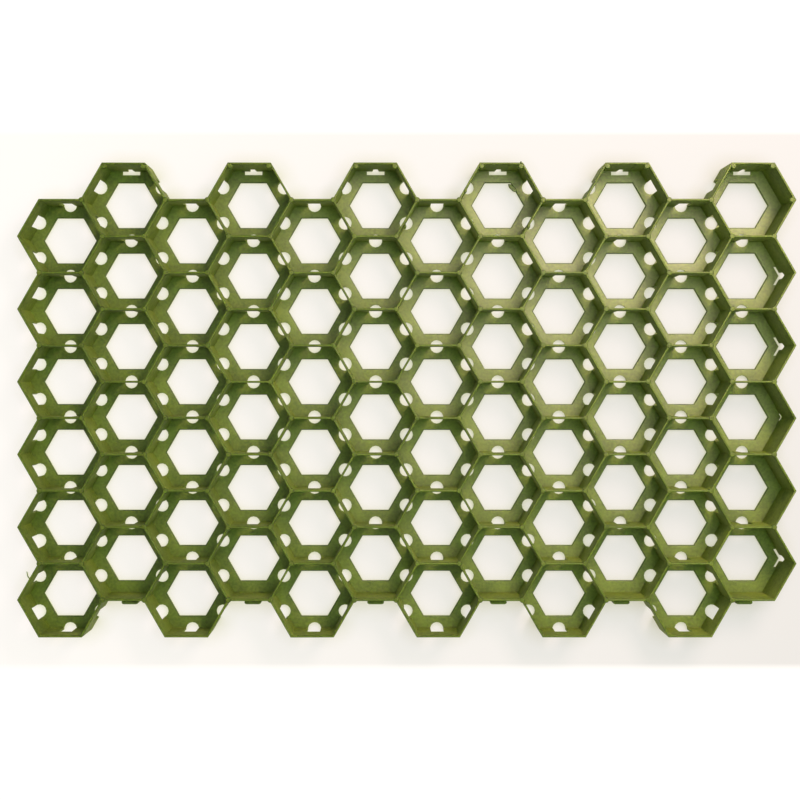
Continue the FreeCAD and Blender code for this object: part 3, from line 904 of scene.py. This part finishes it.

# The chamfers lie at 45 degrees, so their normals pick them out, and the rims by their height; both are
# painted darker, as painted shade
CHAMFER_SLANT, SLANT_PLAY = 0.7, 0.12
RIM_SHADE_FROM, RIM_SHADE_TO, RIM_SHADE_SHARE = 34, 37.5, 0.3
outside = add_node(nodes, "ShaderNodeNewGeometry").outputs
slant = height_of(nodes, outside["True Normal"])
# Painted shade: the chamfer faces are painted a darker olive, as edges in shade
edges = add_node(nodes, "ShaderNodeMath", {0: slant, 1: CHAMFER_SLANT, 2: SLANT_PLAY},
                 operation="COMPARE").outputs[0]
tint = mix_colours(nodes, edges, tint.outputs[0], linear("#3a4516"))
# Painted shade: from 34 mm up to the rim the colour is painted darker
above = height_of(nodes, spot)
painted_rim_shade = remap(nodes, above, 0.0, RIM_SHADE_SHARE, RIM_SHADE_FROM * MM, RIM_SHADE_TO * MM)
tint = mix_colours(nodes, painted_rim_shade, tint, linear("#42481f"))
nodes.links.new(tint, shader.inputs["Base Color"])
print("plastic's colour:", len(nodes.nodes), "nodes")

# %% The plastic's sheen and relief
# Floors are satin, walls are duller, and the rims have half the gloss
SMOOTHEST, ROUGHEST, WALL_ROUGHER = 0.38, 0.56, 0.2
WALL_GLOSS, FLOOR_GLOSS = 0.15, 0.5
SCUFFED_FROM, SCUFFED_TO, SCUFFED_GLOSS = 30, 36, 0.5
WAVE, WAVE_HEIGHT, GRAIN_HEIGHT = 11, 0.35, 0.25
upward = height_of(nodes, outside["Normal"])
rough = add_node(nodes, "ShaderNodeMath", {
    0: remap(nodes, streaks, SMOOTHEST, ROUGHEST), 1: remap(nodes, upward, WALL_ROUGHER, 0.0),
}, operation="ADD").outputs[0]
nodes.links.new(rough, shader.inputs["Roughness"])
gloss = add_node(nodes, "ShaderNodeMath", {
    0: remap(nodes, upward, WALL_GLOSS, FLOOR_GLOSS),
    1: remap(nodes, above, 1.0, SCUFFED_GLOSS, SCUFFED_FROM * MM, SCUFFED_TO * MM),
}, operation="MULTIPLY").outputs[0]
nodes.links.new(gloss, shader.inputs["Specular IOR Level"])
waves = add_node(nodes, "ShaderNodeBump", {
    "Height": noise(WAVE, 2.0), "Strength": 0.6, "Distance": WAVE_HEIGHT * MM}).outputs[0]
relief = add_node(nodes, "ShaderNodeBump", {
    "Height": grain, "Strength": 0.3, "Distance": GRAIN_HEIGHT * MM, "Normal": waves}).outputs[0]
nodes.links.new(relief, shader.inputs["Normal"])

# Light goes a few millimetres into polyethylene, which looks waxy, and its sheen is slightly warm
SCATTER = 3.5
for socket, value in (("Subsurface Weight", 0.9), ("Subsurface Radius", (0.8, 1.0, 0.3)),
                      ("Subsurface Scale", SCATTER * MM), ("IOR", 1.52),
                      ("Specular Tint", linear("#fffff0"))):
    shader.inputs[socket].default_value = value
print("plastic:", len(nodes.nodes), "nodes")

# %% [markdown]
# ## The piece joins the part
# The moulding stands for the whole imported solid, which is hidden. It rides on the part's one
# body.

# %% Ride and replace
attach(grid, "root")
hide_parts("paver_grid")
print("pieces:", grid.name)

# %% [markdown]
# ## Floor, light and camera
# The paver lies on white paper whose glow is painted light, standing in for a very bright
# exposure: the glow is less on the right, where the window's own light falls on it, it is painted
# yellower as painted shade where the plastic shelters it, and it is pure white beyond the paper's
# edges. A window at the upper right lights the paver, a softbox shows only in its sheen, and a
# greenish fill overhead keeps its shadows green. The camera looks straight down, and a small
# shift of its lens puts the paver where the photograph has it.

# %% Floor
FLOOR_REACH, FLOOR_DROP = 4, 0.0004
scene = bpy.context.scene
floor_mesh = bpy.data.meshes.new("studio_floor")
square = ((-1, -1), (1, -1), (1, 1), (-1, 1))
floor_corners = [(x * FLOOR_REACH, y * FLOOR_REACH, -FLOOR_DROP) for x, y in square]
floor_mesh.from_pydata(floor_corners, [], [(0, 1, 2, 3)])
floor = bpy.data.objects.new("studio_floor", floor_mesh)
scene.collection.objects.link(floor)

# Uncoated paper: its fibres scatter light evenly, so it has no sheen
# The paper's glow is painted light: strongest on the left, weaker to the right, full white beyond the paper's
# edges
GLOW_ENDS, GLOW_LEFT, GLOW_RIGHT = 0.35, 0.88, 0.65
PAPER_EDGE, PAPER_END = 0.242, 0.250
SHELTER_REACH, SHELTERED, OPEN = 20, 0.5, 0.85
paper = bpy.data.materials.new("matte_white_paper")
paper.use_nodes = True
sheet = paper.node_tree
matte = sheet.nodes["Principled BSDF"]
matte.inputs["Base Color"].default_value = linear("#5b5665")
matte.inputs["Roughness"].default_value = 0.9
place = add_node(sheet, "ShaderNodeTexCoord").outputs["Object"]
place = add_node(sheet, "ShaderNodeSeparateXYZ", {0: place}).outputs
glow = remap(sheet, place["X"], GLOW_LEFT, GLOW_RIGHT, -GLOW_ENDS, GLOW_ENDS)
off_middle = add_node(sheet, "ShaderNodeMath", {0: place["Y"]}, operation="ABSOLUTE").outputs[0]
beyond = remap(sheet, off_middle, 0.0, 1.0, PAPER_EDGE, PAPER_END)
glow = add_node(sheet, "ShaderNodeMix", {"Factor": beyond, "A": glow, "B": 1.0}).outputs[0]
# Painted shade: where walls and holes occlude the paper, its glow is painted yellower
shelter = add_node(sheet, "ShaderNodeAmbientOcclusion", {"Distance": SHELTER_REACH * MM},
                   samples=3).outputs["AO"]
openness = remap(sheet, shelter, 0.0, 1.0, SHELTERED, OPEN)
glow_with_painted_shade = mix_colours(sheet, openness, linear("#e4e1c0"), linear("#fff9f5"))
sheet.links.new(glow_with_painted_shade, matte.inputs["Emission Color"])
sheet.links.new(glow, matte.inputs["Emission Strength"])
floor_mesh.materials.append(paper)
print("paper:", len(sheet.nodes), "nodes")


# %% Light
def add_light(name, size, energy, colour, location, target):
    """Hang a square lamp and point it at a place."""
    lamp = bpy.data.lights.new(name, "AREA")
    lamp.size = size
    lamp.energy = energy
    lamp.color = linear(colour)[:3]
    made = bpy.data.objects.new(name, lamp)
    made.location = location
    made.rotation_euler = (Vector(target) - Vector(location)).to_track_quat("-Z", "Y").to_euler()
    scene.collection.objects.link(made)
    return made


add_light("window_light", size=0.45, energy=25, colour="#ffe6c8",
          location=(0.58, 0.66, 0.95), target=(0.80, 0.40, 0))
softbox = add_light("softbox", size=0.45, energy=9, colour="#ffecd0",
                    location=(0.30, 0.285, 0.85), target=(0.15, 0.13, 0))
softbox.visible_diffuse = False
overhead = add_light("overhead_fill", size=1.0, energy=19, colour="#c8ffbe",
                     location=(0.34, 0.06, 1.4), target=(0.34, 0.04, 0))
overhead.visible_glossy = False
world = bpy.data.worlds.new("studio")
world.use_nodes = True
surroundings = world.node_tree.nodes["Background"]
surroundings.inputs["Color"].default_value = linear("#f2fcd8")
surroundings.inputs["Strength"].default_value = 0.64
scene.world = world
scene.view_settings.view_transform = "Standard"
print("lights:", len(bpy.data.lights))

# %% Camera
IMAGE_WIDTH, FOCAL_LENGTH = 800, 1248  # in pixels
SENSOR = 36
SHIFT = (0.0141, -0.0212)
EYE = (-0.016, 0.015, 1.144)
camera_data = bpy.data.cameras.new("camera")
camera_data.sensor_width = SENSOR
camera_data.lens = FOCAL_LENGTH / IMAGE_WIDTH * SENSOR
camera_data.shift_x, camera_data.shift_y = SHIFT
camera = bpy.data.objects.new("camera", camera_data)
camera.location = EYE
scene.collection.objects.link(camera)
scene.camera = camera
print("camera", list(camera.location), "lens", camera_data.lens)
